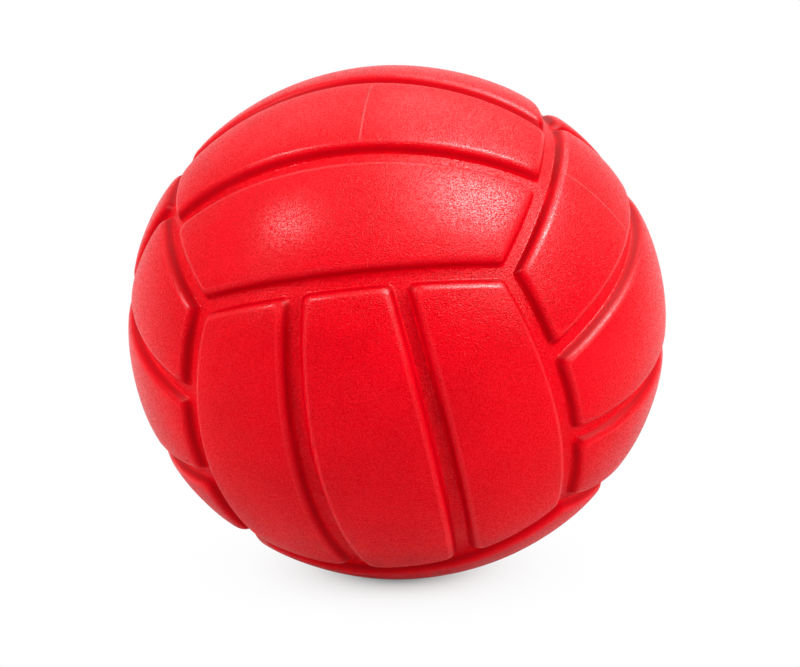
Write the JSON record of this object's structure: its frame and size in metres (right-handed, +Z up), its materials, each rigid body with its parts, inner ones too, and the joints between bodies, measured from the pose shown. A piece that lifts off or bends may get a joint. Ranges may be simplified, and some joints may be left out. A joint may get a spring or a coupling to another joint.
{
  "type": "squeaky ball",
  "caption": "Hollow soft vinyl toy ball with raised volleyball panels and a reed whistle plug in its wall that squeaks when the ball is squeezed.",
  "frame": {"origin": "the middle of the ball", "axes": "+Z up, along the ball's shortest diameter, as it lies on a floor; the picture is taken looking along +Y, and the whistle plug faces +Y, away from the camera"},
  "size_m": [0.1, 0.1, 0.0948],
  "materials": {
    "red_vinyl": "soft vinyl, satin, with a fine leather grain on the panels and smoother channels",
    "white_plastic": "moulded polyethylene, satin",
    "grey_plastic": "moulded polyethylene, satin",
    "reed_film": "stiff polyester film, glossy"
  },
  "bodies": {
    "ball": {"vinyl_shell": "red_vinyl", "whistle_plug": "white_plastic", "reed_trough": "white_plastic", "reed_wedge": "grey_plastic"},
    "reed": {"reed_tongue": "reed_film"}
  },
  "joints": [
    {"name": "reed_beat", "type": "hinge", "parent": "ball", "child": "reed", "pos_m": [0.00407, 0.04438, 0.01188], "axis": [-0.9958, 0.0913, 0], "range_deg": [-1.5, 5], "stiffness_Nm_per_rad": 0.004}
  ]
}
